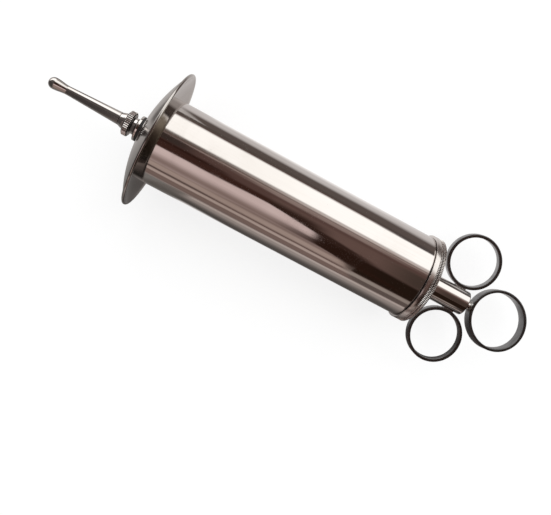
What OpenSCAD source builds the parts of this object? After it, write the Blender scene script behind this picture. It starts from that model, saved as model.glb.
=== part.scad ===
// Three-ring ear syringe of plated brass, lying along X.
// The nozzle tip is at the origin, the barrel runs towards +X and the finger rings lie in the XY plane.

/* [Barrel] */
// Outside diameter of the barrel tube
barrel_d = 40; // [34:0.5:40.5]
// Wall of the barrel tube
barrel_wall = 1; // [0.7:0.1:1.6]
// Length of the barrel tube
barrel_len = 137.7; // [110:0.1:170]
// Thickness of the domed front head
head_wall = 1.4; // [1:0.1:1.8]
// Length of the head's skirt inside the barrel
skirt_len = 3; // [2:0.1:3.2]
// Thickness of the head's skirt
skirt_wall = 1.2; // [0.8:0.1:1.5]

/* [Outlet] */
// Diameter of the threaded outlet spigot
spigot_d = 6; // [5.4:0.1:6.2]
// Length of the spigot's thread in front of the shield washer
spigot_thread = 2.8; // [2.2:0.1:3]
// Bore of the spigot and of the outlet collar
outlet_bore = 3; // [2:0.1:3.4]
// Diameter of the spigot's foot inside the head
foot_d = 9; // [8:0.1:12]
// Thickness of the spigot's foot
foot_h = 0.8; // [0.5:0.1:1]

/* [Splash shield] */
// Diameter of the splash shield
shield_d = 65; // [56:0.5:74]
// Depth of the shield, from its flat seat to its rim
shield_depth = 8.2; // [6:0.1:11]
// Thickness of the shield's metal
shield_wall = 0.9; // [0.6:0.1:1.2]
// Diameter of the flat seat at the middle of the shield
seat_d = 13; // [12.4:0.1:15]
// Diameter of the rolled bead on the shield's rim
bead_d = 1.5; // [1.3:0.1:2.2]

/* [Outlet collar] */
// Diameter of the collar's flange and of the washer behind it
flange_d = 11.9; // [10.5:0.1:12.2]
// Thickness of the flange at its edge
flange_edge = 1; // [0.6:0.1:1.5]
// Length of the flange's sloping front
flange_slope = 0.8; // [0.5:0.1:1.2]
// Diameter of the collar's neck
neck_d = 7.6; // [7.3:0.1:8.4]
// Length of the collar's neck
neck_len = 1.4; // [1:0.1:2.5]
// Diameter of the collar's front thread, which carries the nozzle
tenon_d = 5.2; // [4.6:0.1:5.6]
// Length of the collar's front thread
tenon_len = 3.2; // [2.6:0.1:3.6]
// Thickness of the black washer under the flange
shield_washer_h = 1.6; // [1:0.1:2]
// Thickness of the washer behind the nozzle
nozzle_washer_h = 0.5; // [0.4:0.1:1]

/* [Nozzle] */
// Length of the nozzle tube in front of its collar
nozzle_len = 34; // [28:0.1:45]
// Largest diameter of the rounded tip
olive_d = 5.3; // [4.6:0.1:6]
// Smallest diameter, behind the rounded tip
throat_d = 4; // [3.8:0.1:4.4]
// Distance from the tip to the smallest diameter
throat_x = 8.9; // [8:0.1:12]
// Diameter of the tube where it meets its collar
nozzle_root_d = 6; // [5.4:0.1:6.6]
// Diameter of the outlet hole in the tip
jet_d = 1.6; // [1:0.1:2]
// Length of the outlet hole
jet_len = 10; // [6:0.1:14]
// Bore of the tube behind the outlet hole
nozzle_bore = 2.6; // [2.2:0.1:2.8]
// Diameter of the flat ring around the outlet hole
tip_flat_d = 2.6; // [2.4:0.1:3]
// Diameter of the tube's tenon inside the collar
root_tenon_d = 4.6; // [4:0.1:4.8]
// Length of the tube's tenon
root_tenon_len = 2; // [1.5:0.1:2.2]
// Diameter of the smooth boss in front of the knurl
boss_d = 7.3; // [6.9:0.1:8]
// Length of the boss's sloping front
boss_slope = 1.7; // [1:0.1:2]
// Length of the boss's round part
boss_len = 1.2; // [0.9:0.1:2]
// Diameter of the knurled grip on the nozzle
grip_d = 11.8; // [10.5:0.1:13]
// Length of the knurled grip
grip_len = 2.9; // [2.4:0.1:4]
// Number of ridges on the knurled grip
grip_teeth = 40; // [30:1:48]
// Depth of the ridges on the knurled grip
grip_depth = 0.35; // [0.2:0.05:0.45]

/* [Rear cap] */
// Diameter of the rear cap
cap_d = 42.2; // [42.2:0.1:46]
// Length of the cap, from its front edge to its flat rear face
cap_len = 4.9; // [4.9:0.1:7]
// Bevel on the cap's rear edge
cap_bevel = 0.3; // [0.1:0.1:0.3]
// Length of the barrel inside the cap
cap_grip = 2.3; // [2:0.1:2.4]
// Thickness of the cap's end wall
cap_end = 1.2; // [1:0.1:1.4]
// Diameter of the hollow in the cap's inner face
cap_hollow_d = 33.6; // [28:0.1:34]
// Length of the smooth band at the cap's front edge
cap_band = 2.2; // [1:0.1:2.2]
// Length of one row of the cap's knurl
knurl_row = 1.05; // [0.8:0.05:1.05]
// Width of the groove between the two rows
knurl_gap = 0.2; // [0.1:0.05:0.2]
// Number of ridges in a row
cap_teeth = 168; // [120:4:180]
// Depth of the cap's ridges
knurl_depth = 0.25; // [0.15:0.05:0.3]
// How far the ridges lie inside the cap's smooth band
knurl_inset = 0.05; // [0.02:0.01:0.1]
// Thickness of the cap's gasket
gasket_h = 0.8; // [0.6:0.1:1]
// Width of the gasket's ring
gasket_w = 2.8; // [2:0.1:3.2]

/* [Guide] */
// Outside diameter of the rod's guide tube
guide_d = 11.9; // [10.5:0.1:14]
// Length of the guide tube behind the cap
guide_len = 23.7; // [20:0.1:24.5]
// Wall of the guide tube
guide_wall = 1; // [0.7:0.1:1.4]
// Length of the bush inside the guide tube
bush_len = 12; // [8:0.1:14]
// Height of the bush's rounded end
bush_end = 0.6; // [0.4:0.1:0.8]

/* [Finger rings] */
// Inside diameter of a finger ring
finger_bore = 23.4; // [21:0.1:25]
// Thickness of a finger ring's band
finger_band = 1.6; // [1.2:0.1:2]
// Width of a finger ring's band
finger_w = 3.4; // [2.2:0.1:4]
// Gap between the cap and the finger rings
finger_gap = 5; // [2.2:0.1:6]
// Thickness of the solder that joins each finger ring
solder_h = 0.1; // [0.06:0.01:0.15]
// Width of each solder joint
solder_w = 5; // [4:0.1:6]

/* [Plunger] */
// Diameter of the plunger rod
rod_d = 4; // [3.4:0.1:4.6]
// Inside diameter of the thumb ring
thumb_bore = 26.2; // [22:0.1:26.8]
// Thickness of the thumb ring's band
thumb_band = 1.45; // [1.4:0.05:2.2]
// Width of the thumb ring's band
thumb_w = 5.4; // [3:0.1:6]
// Gap between the guide's end and the thumb ring
thumb_gap = 2.9; // [2.5:0.1:6]
// Turn of the thumb ring away from the finger rings
thumb_turn = -8; // [-90:1:90]
// Length of the solder flare in front of the thumb ring
flare_len = 0.8; // [0.4:0.1:1.2]
// Width of the solder flare at the thumb ring
flare_w = 0.8; // [0.4:0.1:1]
// Bevel on the edges of all three rings
ring_edge = 0.25; // [0.1:0.05:0.4]

/* [Piston] */
// Thickness of a leather cup's disc
cup_h = 1.6; // [1.2:0.1:2.2]
// Length of a leather cup's lip
lip_len = 1.3; // [1:0.1:1.5]
// Thickness of a leather cup's lip
lip_wall = 1.4; // [1:0.1:1.8]
// Thickness of each piston plate
plate_h = 1.5; // [1:0.1:1.5]
// Width across the corners of the piston's nut
nut_d = 8; // [7.2:0.1:9]
// Thickness of the piston's nut
nut_h = 2.6; // [2:0.1:2.8]
// Diameter of the rod's collar behind the piston
rod_collar_d = 8; // [6.4:0.1:9]
// Thickness of the rod's collar
rod_collar_h = 2.6; // [1.6:0.1:2.8]

/* [Clearances] */
// Radial clearance of a thread or of a sliding fit
run_gap = 0.05; // [0.03:0.01:0.08]
// Radial clearance of a soldered or seated fit
seat_gap = 0.02; // [0.01:0.01:0.04]
// Gap between the piston and the head, with the plunger home
home_gap = 0.3; // [0.2:0.1:0.6]

/* [Hidden] */
$fn = 96;

// Colours of the finishes
plate_colour = [0.72, 0.70, 0.68];
ring_colour = [0.55, 0.55, 0.54];
brass_colour = [0.70, 0.58, 0.36];
leather_colour = [0.36, 0.23, 0.13];
washer_colour = [0.07, 0.06, 0.06];

// Places along the axis, counted from the tip
boss_x = nozzle_len;
grip_x = boss_x + boss_slope + boss_len;
nozzle_washer_x = grip_x + grip_len;
neck_x = nozzle_washer_x + nozzle_washer_h;
flange_x = neck_x + neck_len;
shield_washer_x = flange_x + flange_slope + flange_edge;
seat_x = shield_washer_x + shield_washer_h;
head_x = seat_x + shield_wall;

// The bowl is a sphere that meets the flat seat's edge and the rim
bowl_reach = (pow(shield_d / 2, 2) - pow(seat_d / 2, 2)) / shield_depth;
bowl_axis = (bowl_reach + shield_depth) / 2;
bowl_r = sqrt(pow(bowl_axis, 2) + pow(seat_d / 2, 2));
bowl_x = seat_x + bowl_axis;
rim_x = seat_x + shield_depth;
head_r = bowl_r - shield_wall - run_gap;

// Barrel, from where it meets the bowl
barrel_r = barrel_d / 2;
bore_r = barrel_r - barrel_wall;
barrel_x = bowl_x - sqrt(pow(head_r, 2) - pow(barrel_r, 2));
barrel_end = barrel_x + barrel_len;
skirt_end = barrel_x + skirt_len;

// Rear cap, guide and rings
cap_x = barrel_end - cap_grip;
gasket_x = barrel_end;
cap_face_x = gasket_x + gasket_h;
cap_back = cap_x + cap_len;
guide_front = cap_back - cap_end;
guide_back = cap_back + guide_len;
finger_r = finger_bore / 2 + finger_band;
finger_x = cap_back + finger_gap + finger_r;
finger_y = guide_d / 2 + solder_h + finger_r;
thumb_r = thumb_bore / 2 + thumb_band;
thumb_front = guide_back + bush_end + thumb_gap;
thumb_x = thumb_front + thumb_r;

// Piston, front to rear
cup_r = bore_r - run_gap;
plate_r = cup_r - lip_wall - 2 * seat_gap;
lip_x = skirt_end + home_gap;
front_cup_x = lip_x + lip_len;
front_plate_x = front_cup_x - plate_h;
nut_x = front_plate_x - nut_h;
centre_plate_x = front_cup_x + cup_h;
rear_cup_x = centre_plate_x + plate_h;
rear_plate_x = rear_cup_x + cup_h;
rod_collar_x = rear_plate_x + plate_h;
rod_front = nut_x + seat_gap;
rod_back = thumb_front + thumb_band - seat_gap;
rod_r = rod_d / 2;

// Number of steps in the curve behind the rounded tip
curve_steps = 12;
// Overshoot of a cut past the face that it opens
cut = 1;
// Sides of the circles that bound the thin solder
solder_fn = 720;

// A solid of revolution about the X axis, from points of place and radius
module turned(points) {
  rotate([90, 0, 90])
    rotate_extrude()
      polygon([for (p = points) [p[1], p[0]]]);
}

// A round bar along X
module bar(x, len, r) {
  translate([x, 0, 0])
    rotate([0, 90, 0])
      cylinder(h = len, r = r);
}

// A washer or plate along X
module disc(x, len, r, hole_r) {
  difference() {
    bar(x, len, r);
    bar(x - cut, len + 2 * cut, hole_r);
  }
}

// A toothed bar along X
module ridged_bar(x, len, r, teeth, depth, shift) {
  points = [
    for (i = [0 : 2 * teeth - 1])
      let (a = 180 * (i + shift) / teeth, s = r - depth * (i % 2))
        [s * cos(a), s * sin(a)]
  ];
  translate([x, 0, 0])
    rotate([90, 0, 90])
      linear_extrude(height = len)
        polygon(points);
}

// A flat band ring that lies in the XY plane, with bevelled edges
module band_ring(r_in, band, width) {
  r_out = r_in + band;
  half = width / 2;
  rotate_extrude()
    polygon([
      [r_in, ring_edge - half],
      [r_in + ring_edge, -half],
      [r_out - ring_edge, -half],
      [r_out, ring_edge - half],
      [r_out, half - ring_edge],
      [r_out - ring_edge, half],
      [r_in + ring_edge, half],
      [r_in, half - ring_edge]
    ]);
}

module barrel_tube() {
  color(plate_colour)
    disc(barrel_x, barrel_len, barrel_r, bore_r);
}

module front_head() {
  skirt_r = bore_r - seat_gap;
  color(plate_colour)
    difference() {
      intersection() {
        bar(head_x, skirt_end - head_x, skirt_r);
        translate([bowl_x, 0, 0])
          sphere(r = head_r);
      }
      intersection() {
        translate([bowl_x, 0, 0])
          sphere(r = head_r - head_wall);
        bar(head_x + head_wall, skirt_len + shield_depth, skirt_r - skirt_wall);
      }
      bar(head_x - cut, head_wall + 2 * cut, spigot_d / 2 + seat_gap);
    }
}

module outlet_spigot() {
  thread_x = shield_washer_x - spigot_thread;
  foot_x = head_x + head_wall;
  color(brass_colour)
    difference() {
      union() {
        bar(thread_x, foot_x - thread_x + foot_h, spigot_d / 2);
        bar(foot_x, foot_h, foot_d / 2);
      }
      bar(thread_x - cut, foot_x + foot_h - thread_x + 2 * cut, outlet_bore / 2);
    }
}

module splash_shield() {
  bead_r = bead_d / 2;
  color(plate_colour)
    difference() {
      union() {
        intersection() {
          difference() {
            translate([bowl_x, 0, 0])
              sphere(r = bowl_r);
            translate([bowl_x, 0, 0])
              sphere(r = bowl_r - shield_wall);
          }
          bar(seat_x, shield_depth, shield_d / 2);
        }
        bar(seat_x, shield_wall, seat_d / 2);
        rotate([90, 0, 90])
          rotate_extrude()
            translate([shield_d / 2 - bead_r, rim_x])
              circle(r = bead_r, $fn = 48);
      }
      bar(seat_x - cut, shield_wall + 2 * cut, spigot_d / 2 + run_gap);
    }
}

module shield_washer() {
  color(washer_colour)
    disc(shield_washer_x, shield_washer_h, flange_d / 2, spigot_d / 2 + run_gap);
}

module outlet_collar() {
  tenon_x = neck_x - tenon_len;
  thread_x = shield_washer_x - spigot_thread - home_gap;
  color(plate_colour)
    difference() {
      turned([
        [tenon_x, 0],
        [tenon_x, tenon_d / 2],
        [neck_x, tenon_d / 2],
        [neck_x, neck_d / 2],
        [flange_x, neck_d / 2],
        [flange_x + flange_slope, flange_d / 2],
        [shield_washer_x, flange_d / 2],
        [shield_washer_x, 0]
      ]);
      bar(tenon_x - cut, shield_washer_x - tenon_x + 2 * cut, outlet_bore / 2);
      bar(thread_x, shield_washer_x - thread_x + cut, spigot_d / 2 + run_gap);
    }
}

module nozzle_washer() {
  color(washer_colour)
    disc(nozzle_washer_x, nozzle_washer_h, neck_d / 2 - 2 * ring_edge, tenon_d / 2 + run_gap);
}

module nozzle_collar() {
  grip_r = grip_d / 2;
  bevel = grip_depth + ring_edge;
  tenon_room = tenon_len - nozzle_washer_h + home_gap;
  color(plate_colour)
    difference() {
      union() {
        turned([
          [boss_x, 0],
          [boss_x, nozzle_root_d / 2],
          [boss_x + boss_slope, boss_d / 2],
          [grip_x + cut, boss_d / 2],
          [grip_x + cut, 0]
        ]);
        intersection() {
          ridged_bar(grip_x, grip_len, grip_r, grip_teeth, grip_depth, 0);
          turned([
            [grip_x, 0],
            [grip_x, grip_r - bevel],
            [grip_x + bevel, grip_r],
            [nozzle_washer_x - bevel, grip_r],
            [nozzle_washer_x, grip_r - bevel],
            [nozzle_washer_x, 0]
          ]);
        }
      }
      bar(boss_x - cut, grip_x + grip_len - boss_x + 2 * cut, nozzle_bore / 2);
      bar(boss_x - cut, root_tenon_len + cut, root_tenon_d / 2 + seat_gap);
      bar(nozzle_washer_x - tenon_room, tenon_room + cut, tenon_d / 2 + run_gap);
    }
}

module nozzle_tube() {
  olive_r = olive_d / 2;
  throat_r = throat_d / 2;
  flat_r = tip_flat_d / 2;
  round_x = sqrt(pow(olive_r, 2) - pow(flat_r, 2));
  waist_len = throat_x - round_x;
  color(plate_colour)
    difference() {
      union() {
        intersection() {
          translate([round_x, 0, 0])
            sphere(r = olive_r);
          bar(0, round_x, olive_r);
        }
        turned(concat(
          [[round_x, 0]],
          [
            for (i = [0 : curve_steps])
              let (t = i / curve_steps)
                [round_x + waist_len * t, throat_r + (olive_r - throat_r) * (1 + cos(180 * t)) / 2]
          ],
          [
            [boss_x, nozzle_root_d / 2],
            [boss_x, root_tenon_d / 2],
            [boss_x + root_tenon_len, root_tenon_d / 2],
            [boss_x + root_tenon_len, 0]
          ]
        ));
      }
      bar(-cut, jet_len + 2 * cut, jet_d / 2);
      bar(jet_len, boss_x + root_tenon_len - jet_len + cut, nozzle_bore / 2);
    }
}

module cap_gasket() {
  color(leather_colour)
    disc(gasket_x, gasket_h, barrel_r, barrel_r - gasket_w);
}

module rear_cap() {
  cap_r = cap_d / 2;
  row_x = cap_x + cap_band;
  second_x = row_x + knurl_row + knurl_gap;
  knurl_end = second_x + knurl_row;
  core_r = cap_r - knurl_inset - 2 * knurl_depth;
  color(plate_colour)
    difference() {
      union() {
        bar(cap_x, cap_band, cap_r);
        bar(cap_x, knurl_end - cap_x + knurl_gap, core_r);
        ridged_bar(row_x, knurl_row, cap_r - knurl_inset, cap_teeth, knurl_depth, 0);
        ridged_bar(second_x, knurl_row, cap_r - knurl_inset, cap_teeth, knurl_depth, 1);
        turned([
          [knurl_end, 0],
          [knurl_end, cap_r],
          [cap_back - cap_bevel, cap_r],
          [cap_back, cap_r - cap_bevel],
          [cap_back, 0]
        ]);
      }
      bar(cap_x - cut, cap_face_x - cap_x + cut, barrel_r + run_gap);
      bar(cap_face_x - cut, guide_front - cap_face_x + cut, cap_hollow_d / 2);
      bar(guide_front - cut, cap_end + 2 * cut, guide_d / 2 + seat_gap);
    }
}

module guide_tube() {
  color(plate_colour)
    disc(guide_front, guide_back - guide_front, guide_d / 2, guide_d / 2 - guide_wall);
}

module guide_bush() {
  bush_r = guide_d / 2 - guide_wall - seat_gap;
  color(brass_colour)
    difference() {
      turned([
        [guide_back - bush_len, 0],
        [guide_back - bush_len, bush_r],
        [guide_back, bush_r],
        [guide_back + bush_end, bush_r - bush_end],
        [guide_back + bush_end, 0]
      ]);
      bar(guide_back - bush_len - cut, bush_len + bush_end + 2 * cut, rod_r + run_gap);
    }
}

module finger_ring(side) {
  color(ring_colour)
    translate([finger_x, side * finger_y, 0])
      band_ring(finger_bore / 2, finger_band, finger_w);
}

module finger_ring_left() {
  finger_ring(-1);
}

module finger_ring_right() {
  finger_ring(1);
}

// Solder between each finger ring and the guide tube
module ring_solder() {
  joint_w = finger_w - 2 * ring_edge;
  room = solder_w / 2;
  color(ring_colour)
    for (side = [-1, 1])
      translate([0, side * finger_y, 0])
        difference() {
          translate([finger_x - room, side > 0 ? -finger_y : finger_y - room - guide_d / 2, -joint_w / 2])
            cube([solder_w, room + guide_d / 2, joint_w]);
          translate([finger_x, 0, -finger_w])
            cylinder(h = 2 * finger_w, r = finger_r, $fn = solder_fn);
          translate([0, -side * finger_y, 0])
            bar(cap_back - cut, guide_len + cut, guide_d / 2, $fn = solder_fn);
        }
}

// A leather cup; its lip points forwards or rearwards
module leather_cup(x, way) {
  lip_start = way < 0 ? x - lip_len : x;
  color(leather_colour)
    difference() {
      bar(lip_start, cup_h + lip_len, cup_r);
      bar(way < 0 ? lip_start - cut : x + cup_h, lip_len + cut, cup_r - lip_wall);
      bar(x - cut, cup_h + 2 * cut, rod_r + run_gap);
    }
}

module piston_cup_front() {
  leather_cup(front_cup_x, -1);
}

module piston_cup_rear() {
  leather_cup(rear_cup_x, 1);
}

module piston_front_plate() {
  color(brass_colour)
    disc(front_plate_x, plate_h, plate_r, rod_r + seat_gap);
}

module piston_centre_plate() {
  color(brass_colour)
    disc(centre_plate_x, plate_h, plate_r, rod_r + seat_gap);
}

module piston_rear_plate() {
  color(brass_colour)
    disc(rear_plate_x, plate_h, plate_r, rod_r + seat_gap);
}

module piston_nut() {
  color(brass_colour)
    difference() {
      translate([nut_x, 0, 0])
        rotate([0, 90, 0])
          cylinder(h = nut_h, r = nut_d / 2, $fn = 6);
      bar(nut_x - cut, nut_h + 2 * cut, rod_r + seat_gap);
    }
}

module rod_collar() {
  color(brass_colour)
    disc(rod_collar_x, rod_collar_h, rod_collar_d / 2, rod_r + seat_gap);
}

module plunger_rod() {
  color(plate_colour)
    bar(rod_front, rod_back - rod_front, rod_r);
}

module thumb_ring() {
  color(ring_colour)
    difference() {
      translate([thumb_x, 0, 0])
        rotate([thumb_turn, 0, 0])
          band_ring(thumb_bore / 2, thumb_band, thumb_w);
      bar(thumb_front - cut, thumb_band + 2 * cut, rod_r + seat_gap);
    }
}

// Solder that flares from the rod to the thumb ring
module thumb_solder() {
  inner_r = rod_r + seat_gap;
  root_x = thumb_front + flare_len / 2;
  color(ring_colour)
    rotate([thumb_turn, 0, 0])
      difference() {
        turned([
          [thumb_front - flare_len, inner_r],
          [thumb_front - flare_len, inner_r + seat_gap],
          [root_x, inner_r + flare_w],
          [root_x, inner_r]
        ], $fn = solder_fn);
        translate([thumb_x, 0, -thumb_w])
          cylinder(h = 2 * thumb_w, r = thumb_r, $fn = solder_fn);
      }
}

barrel_tube();
front_head();
outlet_spigot();
splash_shield();
shield_washer();
outlet_collar();
nozzle_washer();
nozzle_collar();
nozzle_tube();
cap_gasket();
rear_cap();
guide_tube();
guide_bush();
finger_ring_left();
finger_ring_right();
ring_solder();
piston_cup_front();
piston_cup_rear();
piston_front_plate();
piston_centre_plate();
piston_rear_plate();
piston_nut();
rod_collar();
plunger_rod();
thumb_ring();
thumb_solder();
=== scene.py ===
import math
import bpy
from mathutils import Matrix, Vector


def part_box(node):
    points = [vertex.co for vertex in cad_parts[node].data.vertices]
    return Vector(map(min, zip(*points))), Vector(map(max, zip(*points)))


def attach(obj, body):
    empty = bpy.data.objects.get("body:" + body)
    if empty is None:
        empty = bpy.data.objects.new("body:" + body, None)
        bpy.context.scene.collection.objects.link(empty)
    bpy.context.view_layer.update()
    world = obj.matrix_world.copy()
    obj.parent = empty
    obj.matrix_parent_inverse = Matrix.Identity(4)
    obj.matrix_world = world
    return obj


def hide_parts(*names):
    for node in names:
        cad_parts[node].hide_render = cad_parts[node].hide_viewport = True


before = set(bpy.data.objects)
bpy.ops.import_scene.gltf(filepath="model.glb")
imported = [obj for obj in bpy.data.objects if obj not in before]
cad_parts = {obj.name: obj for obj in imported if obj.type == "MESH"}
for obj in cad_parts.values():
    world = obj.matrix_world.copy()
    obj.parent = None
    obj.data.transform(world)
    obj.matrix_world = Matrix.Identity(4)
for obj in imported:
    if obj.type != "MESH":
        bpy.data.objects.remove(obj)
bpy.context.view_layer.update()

scene = bpy.context.scene
scene.view_settings.view_transform = "Standard"

# Sizes in mm, the same as in the part's source, but with deeper knurling and rounder edges
MM = 0.001
AXIS = Vector((0, 0, 0))
nozzle_len = 34.0
olive_r = 2.65
throat_r = 2.0
throat_x = 8.9
root_r = 3.0
jet_r = 0.8
jet_len = 10.0
jet_edge = 0.12
nozzle_bore_r = 1.3
tip_flat_r = 1.3
root_tenon_r = 2.3
root_tenon_len = 2.0
boss_r = 3.65
boss_slope = 1.7
boss_len = 1.2
grip_r = 5.9
grip_len = 2.9
grip_slope = 0.45
grip_drop = 0.65
grip_teeth = 40
grip_depth = 0.4
nozzle_washer_h = 0.5
nozzle_washer_step = 0.5
neck_r = 3.8
neck_len = 1.4
tenon_r = 2.6
tenon_len = 3.2
flange_r = 5.95
flange_slope = 0.8
flange_edge = 1.0
spigot_r = 3.0
spigot_thread = 2.8
outlet_bore_r = 1.5
shield_washer_h = 1.6
shield_r = 32.5
shield_depth = 8.2
shield_wall = 0.9
seat_r = 6.5
bead_r = 0.75
barrel_r = 20.0
barrel_wall = 1.0
barrel_len = 137.7
cap_r = 21.1
cap_len = 4.9
cap_grip = 2.3
cap_end = 1.2
cap_bevel = 0.3
cap_hollow_r = 16.8
cap_band = 2.2
cap_teeth = 168
knurl_row = 1.05
knurl_gap = 0.2
knurl_inset = 0.05
knurl_depth = 0.36
knurl_lean = 0.1
gasket_h = 0.8
guide_r = 5.95
guide_wall = 1.0
guide_len = 23.7
bush_len = 12.0
bush_end = 0.6
finger_bore = 23.4
finger_band = 1.6
finger_w = 3.4
finger_gap = 5.0
finger_edge = 0.35
solder_h = 0.1
rod_r = 2.0
rod_front_edge = 0.2
rod_back_edge = 0.1
thumb_bore = 26.2
thumb_band = 1.45
thumb_w = 5.4
thumb_edge = 0.35
thumb_gap = 2.9
thumb_turn = -8.0
run_gap = 0.05
seat_gap = 0.02
home_gap = 0.3

# Columns of the mesh in one tooth of a knurl, steps of the nozzle's taper, degrees in a fillet's step
tooth_columns = 4
taper_steps = 18
fillet_turn = 18

# Places along the axis in mm, counted from the nozzle's tip
boss_x = nozzle_len
grip_x = boss_x + boss_slope + boss_len
nozzle_washer_x = grip_x + grip_len
neck_x = nozzle_washer_x + nozzle_washer_h
flange_x = neck_x + neck_len
shield_washer_x = flange_x + flange_slope + flange_edge
seat_x = shield_washer_x + shield_washer_h
rim_x = seat_x + shield_depth
bowl_reach = (shield_r ** 2 - seat_r ** 2) / shield_depth
bowl_axis = (bowl_reach + shield_depth) / 2
bowl_r = math.hypot(bowl_axis, seat_r)
bowl_x = seat_x + bowl_axis
head_r = bowl_r - shield_wall - run_gap
barrel_x = bowl_x - math.sqrt(head_r ** 2 - barrel_r ** 2)
barrel_end = barrel_x + barrel_len
cap_x = barrel_end - cap_grip
cap_face_x = barrel_end + gasket_h
cap_back = cap_x + cap_len
row_x = cap_x + cap_band
second_x = row_x + knurl_row + knurl_gap
knurl_end = second_x + knurl_row
guide_front = cap_back - cap_end
guide_back = cap_back + guide_len
finger_r = finger_bore / 2 + finger_band
finger_x = cap_back + finger_gap + finger_r
finger_y = guide_r + solder_h + finger_r
thumb_front = guide_back + bush_end + thumb_gap
thumb_x = thumb_front + thumb_bore / 2 + thumb_band

# Colours of the metal
PLATE = (0.70, 0.662, 0.642, 1)
STAIN = (0.50, 0.445, 0.405, 1)
DULL_PLATE = (0.50, 0.47, 0.452, 1)
DULL_STAIN = (0.31, 0.28, 0.25, 1)
INNER_STAIN = (0.12, 0.105, 0.095, 1)
NOZZLE_PLATE = (0.62, 0.585, 0.565, 1)
# Soiling with painted contact shade, where parts meet
SOIL_AND_SHADE = (0.035, 0.026, 0.022)

# The studio in mm: the paper's corners, its gap under the syringe, the card above it and the tent
paper_low = (-330, -330)
paper_high = (570, 350)
paper_gap = 0.02
card_lift = 0.4
tent_r = 5000.0


# Camera

def add_camera():
    """The photograph's viewpoint, in the frame of the syringe."""
    data = bpy.data.cameras.new("camera")
    data.sensor_width = 36
    data.lens = 37.638
    data.shift_x = -0.02967
    data.shift_y = -0.09947
    camera = bpy.data.objects.new("camera", data)
    scene.collection.objects.link(camera)
    right = Vector((0.875578, 0.477338, 0.074242))
    up = Vector((-0.472006, 0.878062, -0.078850))
    back = Vector((-0.102827, 0.033997, 0.994118))
    place = Matrix((right, up, back)).transposed().to_4x4()
    place.translation = Vector((91.4705, 12.1722, 261.0490)) * MM
    camera.matrix_world = place
    scene.camera = camera


# Node helpers

class Nodes:
    """Adds and links the nodes of one material, group or world."""

    def __init__(self, tree):
        self.tree = tree

    def add(self, kind, **settings):
        node = self.tree.nodes.new(kind)
        for key, value in settings.items():
            setattr(node, key, value)
        return node

    def link(self, source, target):
        self.tree.links.new(source, target)

    def put(self, socket, value):
        if isinstance(value, bpy.types.NodeSocket):
            self.link(value, socket)
        else:
            socket.default_value = value

    def math(self, operation, a, b=0.0, c=0.0, clamp=False):
        node = self.add("ShaderNodeMath", operation=operation, use_clamp=clamp)
        for socket, value in zip(node.inputs, (a, b, c)):
            self.put(socket, value)
        return node.outputs[0]

    def times(self, a, b):
        return self.math("MULTIPLY", a, b)

    def plus(self, a, b):
        return self.math("ADD", a, b)

    def span(self, value, low, high, to_low=0.0, to_high=1.0):
        """A smooth step from one value to another between two edges."""
        node = self.add("ShaderNodeMapRange")
        node.interpolation_type = "SMOOTHSTEP"
        for socket, v in zip(node.inputs, (value, low, high, to_low, to_high)):
            self.put(socket, v)
        return node.outputs[0]

    def within(self, value, low, high, soft):
        """One between two edges and nothing beyond them, both edges softened."""
        rise = self.span(value, low - soft, low + soft)
        fall = self.span(value, high + soft, high - soft)
        return self.times(rise, fall)

    def mix(self, factor, a, b, blend="MIX"):
        node = self.add("ShaderNodeMix", data_type="RGBA", blend_type=blend)
        self.put(node.inputs[0], factor)
        for socket, v in ((node.inputs[6], a), (node.inputs[7], b)):
            self.put(socket, v if isinstance(v, bpy.types.NodeSocket) else (*v[:3], 1))
        return node.outputs[2]

    def blend(self, factor, a, b):
        node = self.add("ShaderNodeMix", data_type="FLOAT")
        self.put(node.inputs[0], factor)
        self.put(node.inputs[2], a)
        self.put(node.inputs[3], b)
        return node.outputs[0]

    def noise(self, vector, scale, detail=2.0, rough=0.5, distortion=0.0):
        node = self.add("ShaderNodeTexNoise")
        self.link(vector, node.inputs["Vector"])
        self.put(node.inputs["Scale"], scale)
        self.put(node.inputs["Detail"], detail)
        self.put(node.inputs["Roughness"], rough)
        self.put(node.inputs["Distortion"], distortion)
        return node.outputs[0]

    def split(self, vector):
        node = self.add("ShaderNodeSeparateXYZ")
        self.link(vector, node.inputs[0])
        return node.outputs

    def join(self, x, y, z):
        node = self.add("ShaderNodeCombineXYZ")
        for socket, v in zip(node.inputs, (x, y, z)):
            self.put(socket, v)
        return node.outputs[0]

    def length(self, a, b):
        return self.math("SQRT", self.plus(self.times(a, a), self.times(b, b)))

    def moved(self, vector, seed):
        node = self.add("ShaderNodeVectorMath", operation="ADD")
        self.link(vector, node.inputs[0])
        self.link(self.join(seed, seed, seed), node.inputs[1])
        return node.outputs[0]

    def place(self):
        return self.add("ShaderNodeTexCoord").outputs["Object"]

    def centred(self, location, turn=(0, 0, 0)):
        """Object coordinates about a centre, in metres."""
        node = self.add("ShaderNodeMapping", vector_type="TEXTURE")
        self.link(self.place(), node.inputs[0])
        node.inputs["Location"].default_value = location
        node.inputs["Rotation"].default_value = turn
        return node.outputs[0]

    def group(self, tree, **values):
        node = self.add("ShaderNodeGroup", node_tree=tree)
        for key, value in values.items():
            self.put(node.inputs[key.replace("_", " ")], value)
        return node.outputs


def new_group(name, inputs, outputs):
    """A shader group with named sockets; inputs are (name, kind, value)."""
    tree = bpy.data.node_groups.new(name, "ShaderNodeTree")
    kinds = {"value": "NodeSocketFloat", "colour": "NodeSocketColor", "vector": "NodeSocketVector"}
    for label, kind, value in inputs:
        socket = tree.interface.new_socket(label, in_out="INPUT", socket_type=kinds[kind])
        if value is not None:
            socket.default_value = value
    for label, kind in outputs:
        tree.interface.new_socket(label, in_out="OUTPUT", socket_type=kinds[kind])
    n = Nodes(tree)
    return tree, n, n.add("NodeGroupInput").outputs, n.add("NodeGroupOutput").inputs


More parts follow.
